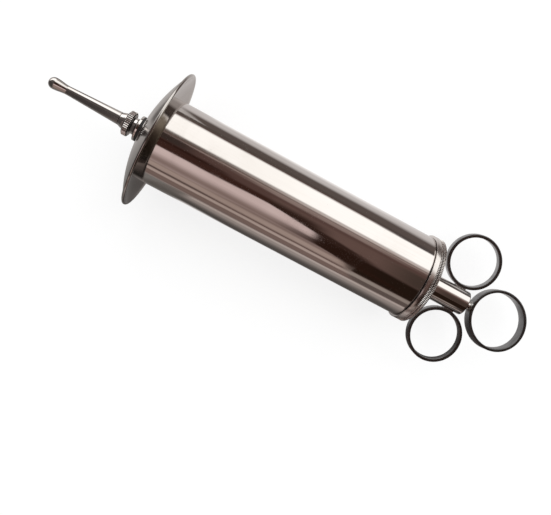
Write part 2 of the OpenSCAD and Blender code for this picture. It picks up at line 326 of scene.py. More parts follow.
def new_material(name, metallic=1.0):
    """A material with its nodes and its surface shader; metal unless told otherwise."""
    mat = bpy.data.materials.new(name)
    mat.use_nodes = True
    n = Nodes(mat.node_tree)
    shader = mat.node_tree.nodes["Principled BSDF"]
    shader.inputs["Metallic"].default_value = metallic
    return mat, n, shader


# Shared effects

def make_tube_wear():
    """Marks of polishing and handling on a plated piece that was turned or drawn along X."""
    tree, n, i, o = new_group(
        "turned plate wear",
        [("Place", "vector", None), ("Seed", "value", 0.0), ("Plate", "colour", PLATE),
         ("Stain", "colour", STAIN), ("Tarnish", "value", 0.3), ("Lines", "value", 0.5),
         ("Waves", "value", 0.5)],
        [("Colour", "colour"), ("Roughness", "value"), ("Height", "value")])
    x, y, z = n.split(i["Place"])
    angle = n.math("ARCTAN2", y, z)
    radius = n.length(y, z)
    here = n.moved(i["Place"], i["Seed"])
    # Fine and broad lines along the piece, left by drawing and polishing
    apart = n.plus(radius, i["Seed"])
    fine = n.noise(n.join(n.times(x, 50.0), n.times(angle, 85.0), apart), 1.0, 4.0, 0.7)
    broad = n.noise(n.join(n.times(x, 14.0), n.times(angle, 26.0), apart), 1.0, 3.0, 0.6)
    # Slow waves in the wall
    swell = n.noise(n.join(n.times(x, 34.0), n.times(angle, 1.6), i["Seed"]), 1.0, 2.0, 0.5)
    # Smears of handling, blots of tarnish and fine scratches
    smear = n.noise(here, 55.0, 5.0, 0.62, 0.6)
    blot = n.noise(here, 17.0, 3.0, 0.55)
    scratch = n.noise(n.join(n.times(x, 260.0), n.times(angle, 110.0), i["Seed"]), 1.0, 3.0, 0.6)
    specks = n.noise(here, 900.0, 2.0, 0.6)
    dull = n.times(n.span(blot, 0.42, 0.72), i["Tarnish"])
    dull = n.plus(dull, n.times(n.times(n.span(smear, 0.45, 0.75), i["Tarnish"]), 0.6))
    colour = n.mix(dull, i["Plate"], i["Stain"])
    streak = n.times(n.span(fine, 0.44, 0.70), n.times(i["Lines"], 0.12))
    streak = n.plus(streak, n.times(n.span(broad, 0.46, 0.66), n.times(i["Lines"], 0.10)))
    colour = n.mix(streak, colour, i["Stain"])
    pits = n.times(n.span(specks, 0.70, 0.78), n.times(i["Tarnish"], 0.5))
    n.link(n.mix(pits, colour, (0.10, 0.085, 0.075)), o["Colour"])
    rough = n.plus(0.04, n.times(n.span(smear, 0.50, 0.78), 0.06))
    rough = n.plus(rough, n.times(dull, 0.10))
    rough = n.plus(rough, n.times(n.span(specks, 0.60, 0.75), 0.05))
    rough = n.plus(rough, n.times(n.span(fine, 0.5, 0.75), n.times(i["Lines"], 0.05)))
    n.link(rough, o["Roughness"])
    height = n.times(n.times(swell, i["Waves"]), 6.0)
    drawn = n.plus(n.times(broad, 0.22), n.times(fine, 0.08))
    # The drawn lines are as steep on a thin piece as on a wide one
    drawn = n.times(n.times(drawn, i["Lines"]), n.times(radius, 50.0))
    height = n.plus(height, drawn)
    height = n.plus(height, n.times(scratch, 0.02))
    n.link(height, o["Height"])
    return tree


def make_band_wear():
    """Brushing and wear on a band ring; Place is centred on the ring, with Z along its axis."""
    tree, n, i, o = new_group(
        "brushed band wear",
        [("Place", "vector", None), ("Seed", "value", 0.0), ("Half Width", "value", 0.0017),
         ("Shade", "value", 0.0)],
        [("Colour", "colour"), ("Roughness", "value"), ("Height", "value")])
    x, y, z = n.split(i["Place"])
    angle = n.math("ARCTAN2", y, x)
    radius = n.length(x, y)
    across = n.plus(n.times(z, 5200.0), i["Seed"])
    along = n.join(n.times(angle, 1.1), n.times(radius, 5200.0), across)
    brush = n.noise(along, 1.0, 3.0, 0.65)
    here = n.moved(i["Place"], i["Seed"])
    stain = n.noise(here, 260.0, 4.0, 0.6)
    patch = n.noise(here, 90.0, 3.0, 0.55)
    spots = n.noise(here, 1400.0, 2.0, 0.5)
    height = n.math("ABSOLUTE", z)
    edge = n.span(height, n.math("SUBTRACT", i["Half Width"], 0.0005), i["Half Width"])
    colour = n.mix(n.span(stain, 0.38, 0.68), (0.33, 0.335, 0.34), (0.21, 0.213, 0.216))
    colour = n.mix(n.times(n.span(patch, 0.45, 0.7), 0.5), colour, (0.42, 0.425, 0.43))
    colour = n.mix(n.times(n.span(brush, 0.42, 0.7), 0.45), colour, (0.50, 0.505, 0.51))
    colour = n.mix(n.times(n.span(spots, 0.62, 0.72), 0.5), colour, (0.08, 0.078, 0.076))
    # Shade darkens the whole band: painted shade on the finger ring on the -Y side, away from the lamp, and a
    # darker band all over on the thumb ring
    colour = n.mix(i["Shade"], colour, (0.10, 0.10, 0.102))
    # The edges of the band are darker
    colour = n.mix(n.times(edge, 0.7), colour, (0.09, 0.09, 0.09))
    n.link(colour, o["Colour"])
    n.link(n.plus(0.20, n.times(n.span(stain, 0.35, 0.75), 0.16)), o["Roughness"])
    n.link(n.plus(n.times(brush, 0.8), n.times(spots, 0.15)), o["Height"])
    return tree


def bumped(n, shader, height, distance, strength=1.0):
    """Raises the surface by a height pattern; the distance is in metres."""
    bump = n.add("ShaderNodeBump")
    bump.inputs["Strength"].default_value = strength
    bump.inputs["Distance"].default_value = distance
    n.link(height, bump.inputs["Height"])
    n.link(bump.outputs[0], shader.inputs["Normal"])


# Materials

def plate_material(name, seed, plate=PLATE, stain=STAIN, tarnish=0.3, lines=0.5, waves=0.5, soiled_shaded_stretches=()):
    """Warm nickel plate; soiling and painted contact shade darken the stretches (low, high) along the piece,
    in mm.
    """
    mat, n, shader = new_material(name)
    place = n.place()
    wear = n.group(tube_wear, Place=place, Seed=seed, Plate=plate, Stain=stain,
                   Tarnish=tarnish, Lines=lines, Waves=waves)
    colour, rough = wear["Colour"], wear["Roughness"]
    x = n.split(place)[0]
    for low, high in soiled_shaded_stretches:
        # Painted contact shade, mottled like soiling, where parts meet
        soil_and_shade = n.within(x, low * MM, high * MM, 0.12 * MM)
        soil_and_shade = n.times(soil_and_shade, n.span(n.noise(place, 700.0, 3.0, 0.6), 0.2, 0.5, 0.7, 1.0))
        colour = n.mix(soil_and_shade, colour, SOIL_AND_SHADE)
        rough = n.blend(soil_and_shade, rough, 0.5)
    n.link(colour, shader.inputs["Base Color"])
    n.link(rough, shader.inputs["Roughness"])
    bumped(n, shader, wear["Height"], 1.5e-5)
    return mat


def shield_material():
    """Dull plate; painted shade makes the inner face brown above the barrel and dark on its lower side."""
    mat, n, shader = new_material("shield plate")
    place = n.place()
    wear = n.group(tube_wear, Place=place, Seed=3.7, Plate=DULL_PLATE, Stain=DULL_STAIN,
                   Tarnish=0.5, Lines=0.1, Waves=0.5)
    y = n.split(place)[1]
    bx, by, bz = n.split(n.centred((bowl_x * MM, 0, 0)))
    reach = n.length(bx, n.length(by, bz))
    inside = n.span(reach, (bowl_r - shield_wall / 3) * MM, (bowl_r - shield_wall * 2 / 3) * MM)
    cloud = n.times(n.noise(place, 130.0, 4.0, 0.6), 0.012)
    beside = n.plus(y, cloud)
    # Painted shade on the inner face: brown where it faces the barrel, dark on its lower side
    brown = n.times(inside, n.within(beside, -0.010, 0.023, 0.003))
    dark = n.times(inside, n.span(beside, 0.0, -0.016))
    colour = n.mix(n.times(brown, 0.9), wear["Colour"], (0.14, 0.11, 0.075))
    colour = n.mix(n.times(dark, 0.8), colour, (0.12, 0.105, 0.098))
    n.link(colour, shader.inputs["Base Color"])
    rough = n.plus(wear["Roughness"], 0.05)
    rough = n.blend(n.times(brown, 0.9), rough, 0.4)
    n.link(rough, shader.inputs["Roughness"])
    bumped(n, shader, wear["Height"], 1.5e-5)
    return mat


def knurled_material(name, seed, plate, top, depth, low_x, high_x, satin):
    """Satin plate, painted lighter on the knurled stretch as a sheen on its ridges, with soiling and painted
    shade dark in the grooves between the ridges, sizes in mm.
    """
    mat, n, shader = new_material(name)
    place = n.place()
    wear = n.group(tube_wear, Place=place, Seed=seed, Plate=plate, Stain=STAIN,
                   Tarnish=0.4, Lines=0.1, Waves=0.3)
    x, y, z = n.split(place)
    radius = n.length(y, z)
    sunk = n.span(radius, (top - depth * 0.55) * MM, (top - depth * 0.95) * MM)
    inside = n.within(x, low_x * MM, high_x * MM, 0.02 * MM)
    groove = n.times(sunk, inside)
    # The knurled stretch is painted lighter: a painted sheen on its ridges
    colour = n.mix(n.times(inside, 0.5), wear["Colour"], (0.86, 0.84, 0.82))
    # Soiling and painted shade darken the grooves
    n.link(n.mix(groove, colour, (0.02, 0.016, 0.014)), shader.inputs["Base Color"])
    rough = n.plus(n.plus(wear["Roughness"], satin), n.times(inside, 0.06))
    n.link(n.blend(groove, rough, 0.7), shader.inputs["Roughness"])
    bumped(n, shader, wear["Height"], 1.2e-5)
    return mat


def ring_material(name, seed, centre, turn, width, shade):
    """Worn steel-grey plate of a band ring, brushed round the band."""
    mat, n, shader = new_material(name)
    wear = n.group(band_wear, Place=n.centred(centre, turn), Seed=seed,
                   Half_Width=width / 2 * MM, Shade=shade)
    n.link(wear["Colour"], shader.inputs["Base Color"])
    n.link(wear["Roughness"], shader.inputs["Roughness"])
    bumped(n, shader, wear["Height"], 1.2e-5)
    return mat


def solder_material():
    """Lumpy dull solder."""
    mat, n, shader = new_material("solder under plate")
    place = n.place()
    lumps = n.noise(place, 900.0, 4.0, 0.6)
    colour = n.mix(n.span(lumps, 0.35, 0.7), (0.52, 0.51, 0.50), (0.26, 0.25, 0.24))
    n.link(colour, shader.inputs["Base Color"])
    n.link(n.span(lumps, 0.3, 0.7, 0.28, 0.5), shader.inputs["Roughness"])
    bumped(n, shader, lumps, 6e-5)
    return mat


def brass_material():
    """Brass with fine turning marks, brown tarnish and dark spots."""
    mat, n, shader = new_material("tarnished brass")
    place = n.place()
    x, y, z = n.split(place)
    rings = n.noise(n.join(n.times(x, 7000.0), n.times(n.length(y, z), 7000.0), 0.0), 1.0, 2.0, 0.6)
    stain = n.noise(place, 240.0, 5.0, 0.6)
    spots = n.noise(place, 1100.0, 3.0, 0.55)
    colour = n.mix(n.span(stain, 0.32, 0.62), (0.42, 0.30, 0.13), (0.13, 0.085, 0.045))
    colour = n.mix(n.times(n.span(spots, 0.55, 0.72), 0.7), colour, (0.05, 0.038, 0.025))
    n.link(colour, shader.inputs["Base Color"])
    n.link(n.span(stain, 0.3, 0.7, 0.24, 0.46), shader.inputs["Roughness"])
    bumped(n, shader, rings, 1.2e-5)
    return mat


def leather_material():
    """Oiled leather with creases."""
    mat, n, shader = new_material("oiled packing leather", metallic=0.0)
    place = n.place()
    cells = n.add("ShaderNodeTexVoronoi", feature="DISTANCE_TO_EDGE")
    n.link(place, cells.inputs["Vector"])
    cells.inputs["Scale"].default_value = 1500.0
    crease = n.span(cells.outputs["Distance"], 0.0, 0.16)
    soak = n.noise(place, 160.0, 4.0, 0.6)
    colour = n.mix(n.span(soak, 0.35, 0.7), (0.20, 0.10, 0.045), (0.075, 0.036, 0.018))
    # Painted shade darkens the creases
    colour = n.mix(n.math("SUBTRACT", 1.0, crease), colour, (0.03, 0.016, 0.01))
    n.link(colour, shader.inputs["Base Color"])
    n.link(n.span(soak, 0.3, 0.7, 0.62, 0.4), shader.inputs["Roughness"])
    bumped(n, shader, crease, 4e-5, 0.7)
    return mat


def washer_material():
    """Matt black rubber with a grey bloom."""
    mat, n, shader = new_material("black rubber washer", metallic=0.0)
    place = n.place()
    grain = n.noise(place, 2600.0, 3.0, 0.6)
    bloom = n.noise(place, 420.0, 4.0, 0.6)
    colour = n.mix(n.span(bloom, 0.45, 0.75), (0.010, 0.008, 0.008), (0.035, 0.030, 0.028))
    n.link(colour, shader.inputs["Base Color"])
    n.link(n.span(grain, 0.3, 0.7, 0.42, 0.66), shader.inputs["Roughness"])
    bumped(n, shader, grain, 3e-5, 0.6)
    return mat


# Modelling

def rounded(points, closed=True):
    """Replaces each corner (place, radius, fillet) of an outline by an arc of that fillet, in mm."""
    out = []
    count = len(points)
    for k, point in enumerate(points):
        here = Vector(point[:2])
        size = point[2] if len(point) > 2 else 0.0
        if size <= 0 or (not closed and k in (0, count - 1)):
            out.append(here)
            continue
        before = (Vector(points[k - 1][:2]) - here).normalized()
        after = (Vector(points[(k + 1) % count][:2]) - here).normalized()
        half = before.angle(after) / 2
        reach = size / math.tan(half)
        middle = here + (before + after).normalized() * (size / math.sin(half))
        start = here + before * reach - middle
        end = here + after * reach - middle
        sweep = start.angle_signed(end)
        steps = max(2, round(abs(math.degrees(sweep)) / fillet_turn))
        for s in range(steps + 1):
            turn = Matrix.Rotation(-sweep * s / steps, 2)
            out.append(middle + turn @ start)
    return out


def arc(centre, radius, start, end, steps):
    """Points (place, radius) of an arc, with angles in degrees from the rearward direction."""
    out = []
    for s in range(steps + 1):
        a = math.radians(start + (end - start) * s / steps)
        out.append((centre[0] + radius * math.cos(a), centre[1] + radius * math.sin(a)))
    return out


def draw_outline(name, outline, closed, upright=False):
    """Draws an outline in edit mode: along X and Z, or along Z and X for a ring that stands upright."""
    bpy.ops.object.select_all(action="DESELECT")
    first = outline[0]
    at = (first[1] * MM, 0, first[0] * MM) if upright else (first[0] * MM, 0, first[1] * MM)
    bpy.ops.mesh.primitive_plane_add(size=0.0001, location=at)
    piece = bpy.context.active_object
    piece.name = piece.data.name = name
    bpy.ops.object.mode_set(mode="EDIT")
    bpy.ops.mesh.select_all(action="SELECT")
    bpy.ops.mesh.merge(type="CENTER")
    last = Vector(first[:2])
    route = list(outline[1:]) + ([first] if closed else [])
    for point in route:
        step = (Vector(point[:2]) - last) * MM
        move = (step[1], 0, step[0]) if upright else (step[0], 0, step[1])
        bpy.ops.mesh.extrude_vertices_move(TRANSFORM_OT_translate={"value": move})
        last = Vector(point[:2])
    return piece


def spin_round(piece, steps, axis, smooth):
    """Spins the drawn outline once round, closes it and turns its faces outwards."""
    bpy.ops.mesh.select_all(action="SELECT")
    bpy.ops.mesh.spin(steps=steps, angle=2 * math.pi, center=AXIS, axis=axis)
    bpy.ops.mesh.select_all(action="SELECT")
    bpy.ops.mesh.remove_doubles(threshold=2e-6)
    bpy.ops.mesh.normals_make_consistent(inside=False)
    bpy.ops.object.mode_set(mode="OBJECT")
    bpy.ops.object.transform_apply(location=True, rotation=True, scale=True)
    bpy.ops.object.shade_smooth_by_angle(angle=math.radians(smooth))


def turned(name, outline, steps=192, closed=True, smooth=32):
    """A piece turned about the X axis from its outline."""
    piece = draw_outline(name, outline, closed)
    spin_round(piece, steps, (1, 0, 0), smooth)
    return piece


def press_columns(piece, teeth, rows, depth, smooth=32):
    """Presses leaning grooves round the rows (low, high, radius, shift).

    In each tooth one column goes down to the depth and the one before it by half."""
    bpy.ops.object.select_all(action="DESELECT")
    piece.select_set(True)
    bpy.context.view_layer.objects.active = piece
    for low, high, radius, shift in rows:
        ring = []
        for v in piece.data.vertices:
            r = math.hypot(v.co.y, v.co.z) / MM
            if low < v.co.x / MM < high and abs(r - radius) < 0.02:
                share_round = math.atan2(v.co.y, v.co.z) / (2 * math.pi)
                column = round(share_round * teeth * tooth_columns) + shift
                ring.append((v.index, column % tooth_columns))
        for place, share in ((0, 1.0), (tooth_columns - 1, 0.5)):
            bpy.ops.object.mode_set(mode="EDIT")
            bpy.ops.mesh.select_mode(type="VERT")
            bpy.ops.mesh.select_all(action="DESELECT")
            bpy.ops.object.mode_set(mode="OBJECT")
            for index, column in ring:
                piece.data.vertices[index].select = column == place
            bpy.ops.object.mode_set(mode="EDIT")
            k = (radius - depth * share) / radius
            bpy.ops.transform.resize(value=(1, k, k), center_override=AXIS)
            bpy.ops.object.mode_set(mode="OBJECT")
    bpy.ops.object.shade_smooth_by_angle(angle=math.radians(smooth))


def band(name, centre, bore, thick, width, edge, turn=0.0):
    """A band ring with rounded edges, spun about its own upright axis."""
    r_in = bore / 2
    r_out = r_in + thick
    half = width / 2
    outline = rounded([
        (-half, r_in, edge), (-half, r_out, edge), (half, r_out, edge), (half, r_in, edge)])
    piece = draw_outline(name, outline, True, upright=True)
    spin_round(piece, 180, (0, 0, 1), 32)
    piece.rotation_euler = (math.radians(turn), 0, 0)
    piece.location = Vector(centre) * MM
    bpy.ops.object.transform_apply(location=True, rotation=True, scale=True)
    return piece


def fit(piece, node, body, material):
    """Sets a finished piece in place of its CAD node."""
    piece.data.materials.clear()
    piece.data.materials.append(material)
    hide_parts(node)
    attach(piece, body)


def dress(node, material):
    """Gives a CAD node its material."""
    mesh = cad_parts[node].data
    mesh.materials.clear()
    mesh.materials.append(material)


# Pieces

def make_barrel():
    """The plain drawn tube, with soiling and painted contact shade where the cap meets it."""
    bore_r = barrel_r - barrel_wall
    outline = rounded([
        (barrel_x, bore_r), (barrel_x, barrel_r), (barrel_end, barrel_r, 0.15), (barrel_end, bore_r)])
    piece = turned("barrel", outline, steps=256)
    # Soiling and painted contact shade where the cap meets the barrel
    metal = plate_material("drawn barrel plate", 0.0, tarnish=0.25, lines=0.9, waves=0.55,
                           soiled_shaded_stretches=[(cap_x - 0.35, cap_x + 0.3)])
    fit(piece, "barrel_tube", "barrel", metal)


def make_shield():
    """The bowl with its flat seat and the rolled bead round its rim."""
    inner_r = bowl_r - shield_wall
    bead_y = shield_r - bead_r
    outer_edge = bead_y - 0.6 * bead_r
    inner_edge = bead_y - 0.8 * bead_r
    hole_r = spigot_r + run_gap
    outline = [(seat_x, hole_r), (seat_x, seat_r)]
    start = math.degrees(math.asin(seat_r / bowl_r))
    end = math.degrees(math.asin(outer_edge / bowl_r))
    outline += arc((bowl_x, 0), bowl_r, 180 - start, 180 - end, 28)[1:]
    outline += arc((rim_x, bead_y), bead_r, 222, -20, 18)
    start = math.degrees(math.asin(inner_edge / inner_r))
    end = math.degrees(math.asin(seat_r / inner_r))
    outline += arc((bowl_x, 0), inner_r, 180 - start, 180 - end, 28)
    outline += [(seat_x + shield_wall, hole_r)]
    piece = turned("shield", outline, steps=256, smooth=35)
    fit(piece, "splash_shield", "barrel", shield_material())


def make_outlet_collar():
    """The flanged collar with its neck, its front thread and its bored rear."""
    hole_r = spigot_r + run_gap
    deep = shield_washer_x - spigot_thread - home_gap
    outline = rounded([
        (neck_x - tenon_len, outlet_bore_r), (neck_x - tenon_len, tenon_r, 0.2), (neck_x, tenon_r),
        (neck_x, neck_r, 0.15), (flange_x, neck_r, 0.1), (flange_x + flange_slope, flange_r, 0.12),
        (shield_washer_x, flange_r, 0.12), (shield_washer_x, hole_r), (deep, hole_r), (deep, outlet_bore_r)])
    # Soiling and painted contact shade where the neck meets the flange
    metal = plate_material("collar plate", 6.1, tarnish=0.2, lines=0.1, waves=0.2,
                           soiled_shaded_stretches=[(flange_x - 0.2, flange_x + 0.1)])
    fit(turned("collar", outline, steps=128), "outlet_collar", "outlet_collar", metal)


def make_washers():
    """The two rubber washers, in front of the shield and behind the nozzle."""
    rubber = washer_material()
    back = shield_washer_x + shield_washer_h
    hole_r = spigot_r + run_gap
    outline = rounded([
        (shield_washer_x, hole_r), (shield_washer_x, flange_r, 0.25), (back, flange_r, 0.25), (back, hole_r)])
    fit(turned("shield_seal", outline, steps=96), "shield_washer", "shield_seal", rubber)
    back = nozzle_washer_x + nozzle_washer_h
    hole_r = tenon_r + run_gap
    edge_r = neck_r - nozzle_washer_step
    outline = rounded([
        (nozzle_washer_x, hole_r), (nozzle_washer_x, edge_r, 0.15), (back, edge_r, 0.15), (back, hole_r)])
    fit(turned("nozzle_seal", outline, steps=96), "nozzle_washer", "nozzle_seal", rubber)


def make_nozzle():
    """The tapered stem with its olive tip, jet and rear tenon."""
    round_x = math.sqrt(olive_r ** 2 - tip_flat_r ** 2)
    outline = [(jet_len, jet_r), (jet_edge, jet_r), (0.0, jet_r + jet_edge), (0.0, tip_flat_r)]
    start = math.degrees(math.asin(tip_flat_r / olive_r))
    outline += arc((round_x, 0), olive_r, 180 - start, 90, 14)[1:]
    for k in range(1, taper_steps + 1):
        t = k / taper_steps
        swell = (1 + math.cos(math.pi * t)) / 2
        outline.append((round_x + (throat_x - round_x) * t, throat_r + (olive_r - throat_r) * swell))
    back = boss_x + root_tenon_len
    outline += [(boss_x, root_r), (boss_x, root_tenon_r), (back, root_tenon_r)]
    outline += [(back, nozzle_bore_r), (jet_len, nozzle_bore_r)]
    piece = turned("nozzle_stem", outline, steps=128)
    # Soiling and painted contact shade where the stem enters the boss
    metal = plate_material("nozzle plate", 9.3, plate=NOZZLE_PLATE, tarnish=0.5, lines=0.6, waves=0.2,
                           soiled_shaded_stretches=[(boss_x - 0.25, boss_x + 0.1)])
    fit(piece, "nozzle_tube", "nozzle", metal)


def make_grip():
    """The nozzle's knurled grip with the boss in front of it."""
    back = nozzle_washer_x
    low_r = grip_r - grip_drop
    tenon_room = back - tenon_len + nozzle_washer_h - home_gap
    outline = rounded([
        (boss_x, root_tenon_r + seat_gap), (boss_x, root_r), (boss_x + boss_slope, boss_r, 0.3),
        (grip_x, boss_r, 0.12), (grip_x, low_r), (grip_x + grip_slope, grip_r),
        (back - grip_slope, grip_r), (back, low_r), (back, tenon_r + run_gap),
        (tenon_room, tenon_r + run_gap), (tenon_room, nozzle_bore_r),
        (boss_x + root_tenon_len, nozzle_bore_r), (boss_x + root_tenon_len, root_tenon_r + seat_gap)])
    piece = turned("nozzle_grip", outline, steps=grip_teeth * tooth_columns)
    press_columns(piece, grip_teeth, [(grip_x, back, grip_r, 0)], grip_depth)
    metal = knurled_material("grip plate", 12.9, PLATE, grip_r, grip_depth, grip_x, back, 0.12)
    fit(piece, "nozzle_collar", "nozzle", metal)


def make_cap():
    """The cap, with a smooth band in front and two rows of knurling set half a tooth apart."""
    top = cap_r - knurl_inset
    low = top - knurl_depth
    inner_r = barrel_r + run_gap
    hole_r = guide_r + seat_gap
    outline = rounded([
        (cap_x, inner_r), (cap_x, cap_r, 0.12), (row_x - 0.05, cap_r, 0.05), (row_x, low)], False)
    row_end = second_x - knurl_gap
    outline += [(row_x + knurl_lean, top), (row_end - knurl_lean, top), (row_end, low)]
    outline += [(second_x, low), (second_x + knurl_lean, top), (knurl_end - knurl_lean, top)]
    outline += [(knurl_end, low)]
    outline += [(knurl_end + 0.03, cap_r), (cap_back - cap_bevel, cap_r)]
    outline += rounded([
        (cap_back - cap_bevel, cap_r), (cap_back, cap_r - cap_bevel, 0.2), (cap_back, hole_r, 0.05),
        (guide_front, hole_r), (guide_front, cap_hollow_r), (cap_face_x, cap_hollow_r),
        (cap_face_x, inner_r)], False)[1:]
    piece = turned("cap", outline, steps=cap_teeth * tooth_columns, smooth=30)
    rows = [(row_x, row_end, top, 0), (second_x, knurl_end, top, 2)]
    press_columns(piece, cap_teeth, rows, knurl_depth, 30)
    metal = knurled_material("cap plate", 15.3, PLATE, top, knurl_depth, row_x, knurl_end, 0.14)
    fit(piece, "rear_cap", "rear_cap", metal)


def make_guide():
    """The rod's guide tube and the brass bush in its end."""
    inner_r = guide_r - guide_wall
    bush_r = inner_r - seat_gap
    hole_r = rod_r + run_gap
    outline = rounded([
        (guide_front, inner_r), (guide_front, guide_r), (guide_back, guide_r, 0.2),
        (guide_back, inner_r, 0.1)])
    # Soiling and painted contact shade where the guide leaves the cap and at its end
    metal = plate_material("guide plate", 21.7, tarnish=0.12, lines=0.7, waves=0.4,
                           soiled_shaded_stretches=[(cap_back - 0.2, cap_back + 0.3), (guide_back - 0.35, guide_back + 1)])
    fit(turned("guide", outline, steps=160), "guide_tube", "rear_cap", metal)
    front = guide_back - bush_len
    back = guide_back + bush_end
    outline = rounded([
        (front, hole_r), (front, bush_r), (guide_back, bush_r), (back, bush_r - bush_end, 0.2),
        (back, hole_r, 0.1)])
    fit(turned("bush", outline, steps=128), "guide_bush", "rear_cap", brass)


def make_rings():
    """The two finger rings and the wider thumb ring, which stands a little turned."""
    for side, node in ((-1, "finger_ring_left"), (1, "finger_ring_right")):
        centre = (finger_x, side * finger_y, 0)
        piece = band(node + "_band", centre, finger_bore, finger_band, finger_w, finger_edge)
        # The finger ring on the -Y side, away from the lamp, is given painted shade
        shade = 0.1 - 0.1 * side
        middle = Vector(centre) * MM
        metal = ring_material(node + " steel", 4.0 + side, middle, (0, 0, 0), finger_w, shade)
        fit(piece, node, "rear_cap", metal)
    centre = (thumb_x, 0, 0)
    piece = band("thumb_ring_band", centre, thumb_bore, thumb_band, thumb_w, thumb_edge, turn=thumb_turn)
    turn = (math.radians(thumb_turn), 0, 0)
    metal = ring_material("thumb ring steel", 8.0, Vector(centre) * MM, turn, thumb_w, 0.55)
    fit(piece, "thumb_ring", "plunger", metal)


def make_plunger():
    """The rod, as long as its solid."""
    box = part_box("plunger_rod")
    front, back = box[0][0] / MM, box[1][0] / MM
    outline = [
        (front, 0.0), (front, rod_r - rod_front_edge), (front + rod_front_edge, rod_r),
        (back - rod_back_edge, rod_r), (back, rod_r - rod_back_edge), (back, 0.0)]
    piece = turned("rod", outline, steps=96, closed=False)
    metal = plate_material("rod plate", 27.1, tarnish=0.5, lines=0.7, waves=0.2)
    fit(piece, "plunger_rod", "plunger", metal)


# Studio

def sheet_mesh(name, low, high, lift):
    """A flat sheet from corner to corner, in mm, on or over the table that rim and cap rest on."""
    edge_x = cap_back - cap_bevel
    slope = math.atan2(shield_r - cap_r, edge_x - rim_x)
    bpy.ops.object.select_all(action="DESELECT")
    bpy.ops.mesh.primitive_plane_add(size=1)
    sheet = bpy.context.active_object
    sheet.name = sheet.data.name = name
    sheet.scale = ((high[0] - low[0]) * MM, (high[1] - low[1]) * MM, 1)
    sheet.location = ((low[0] + high[0]) / 2 * MM, (low[1] + high[1]) / 2 * MM, 0)
    bpy.ops.object.transform_apply(location=True, rotation=True, scale=True)
    sheet.rotation_euler = (0, -slope, 0)
    rest_z = -shield_r - paper_gap + lift
    sheet.location = (rim_x * (1 - math.cos(slope)) * MM, 0, (rest_z - rim_x * math.sin(slope)) * MM)
    bpy.ops.object.transform_apply(location=True, rotation=True, scale=True)
    return sheet


def bare_material(name):
    """A material of the studio, with its surface still to be linked."""
    mat = bpy.data.materials.new(name)
    mat.use_nodes = True
    mat.node_tree.nodes.remove(mat.node_tree.nodes["Principled BSDF"])
    return mat, Nodes(mat.node_tree), mat.node_tree.nodes["Material Output"].inputs[0]


def add_floor():
    """White paper under the syringe, which lies on its shield's rim and its cap's edge."""
    sheet = sheet_mesh("white_paper", paper_low, paper_high, 0.0)
    mat, n, surface = bare_material("white paper")
    matt = n.add("ShaderNodeBsdfDiffuse")
    matt.inputs["Color"].default_value = (0.30, 0.30, 0.30, 1)
    glow = n.add("ShaderNodeEmission")
    glow.inputs["Strength"].default_value = 0.74
    both = n.add("ShaderNodeAddShader")
    n.link(matt.outputs[0], both.inputs[0])
    n.link(glow.outputs[0], both.inputs[1])
    n.link(both.outputs[0], surface)
    sheet.data.materials.append(mat)


def metal_only(piece):
    """Lets only reflections see a card or wall of the studio."""
    piece.visible_camera = False
    piece.visible_diffuse = False
    piece.visible_shadow = False
    piece.visible_transmission = False
    piece.visible_volume_scatter = False


def beside_colour(n, x, y):
    """The card beside the barrel, with the painted light close to it and the painted shades that the metal
    shows on either side.
    """
    # Painted light on the paper close beside the barrel
    near = n.times(n.span(y, 0.050, 0.028), n.span(x, 0.062, 0.074))
    near = n.times(near, n.span(x, 0.145, 0.195, 1.0, 0.1))
    beside = n.mix(near, (0.70, 0.67, 0.66), (1.0, 0.975, 0.965))
    # The window side's shade begins nearer to the barrel towards the rear
    far = n.plus(y, n.span(x, 0.115, 0.185, 0.0, 0.018))
    beside = n.mix(n.span(far, 0.064, 0.112), beside, (0.13, 0.105, 0.095))
    # The shade on the other side has its edge at a place that shifts along the barrel
    shade = n.plus(y, n.span(x, 0.070, 0.112, 0.010, -0.007))
    shade = n.plus(shade, n.span(x, 0.115, 0.170, 0.0, -0.003))
    shade = n.plus(shade, n.span(x, 0.194, 0.204, 0.0, -0.009))
    beside = n.mix(n.span(shade, -0.014, -0.046), beside, (0.09, 0.08, 0.075))
    beside = n.mix(n.span(shade, -0.050, -0.130), beside, (0.38, 0.335, 0.315))
    beside = n.mix(n.span(shade, -0.145, -0.220), beside, (0.56, 0.49, 0.46))
    # In the corner between shield and barrel the card lies in their shade
    corner = n.times(n.span(x, 0.074, 0.062), n.span(y, -0.006, -0.022))
    return n.mix(n.times(corner, 0.8), beside, (0.14, 0.13, 0.12))


def ahead_colour(n, x, y):
    """The card in front of the shield: light, but for the nozzle's shade and the far side."""
    ahead = n.mix(n.span(y, 0.010, -0.045), (0.56, 0.535, 0.52), (0.24, 0.23, 0.22))
    under = n.times(n.within(y, 0.008, 0.075, 0.004), n.within(x, -0.040, 0.008, 0.006))
    return n.mix(n.times(under, 0.8), ahead, (0.10, 0.09, 0.088))


def add_card():
    """A card just above the paper, seen only in reflections, with the paper's light and shade painted on it,
    which tones down the paper that the metal sees.
    """
    card = sheet_mesh("paper_light_and_shade_card", paper_low, paper_high, card_lift)
    metal_only(card)
    mat, n, surface = bare_material("paper light and shade card")
    mat.cycles.emission_sampling = "NONE"
    x, y = n.split(n.place())[:2]
    colour = n.mix(n.span(x, 0.052, 0.040), beside_colour(n, x, y), ahead_colour(n, x, y))
    glow = n.add("ShaderNodeEmission")
    n.link(colour, glow.inputs[0])
    n.link(glow.outputs[0], surface)
    card.data.materials.append(mat)


def room_colour(n, turn, base, parts):
    """Strips of the room along the syringe: each part runs from one angle to another."""
    colour = base
    for low, high, soft, tone in parts:
        colour = n.mix(n.within(turn, low, high, soft), colour, tone)
    return colour


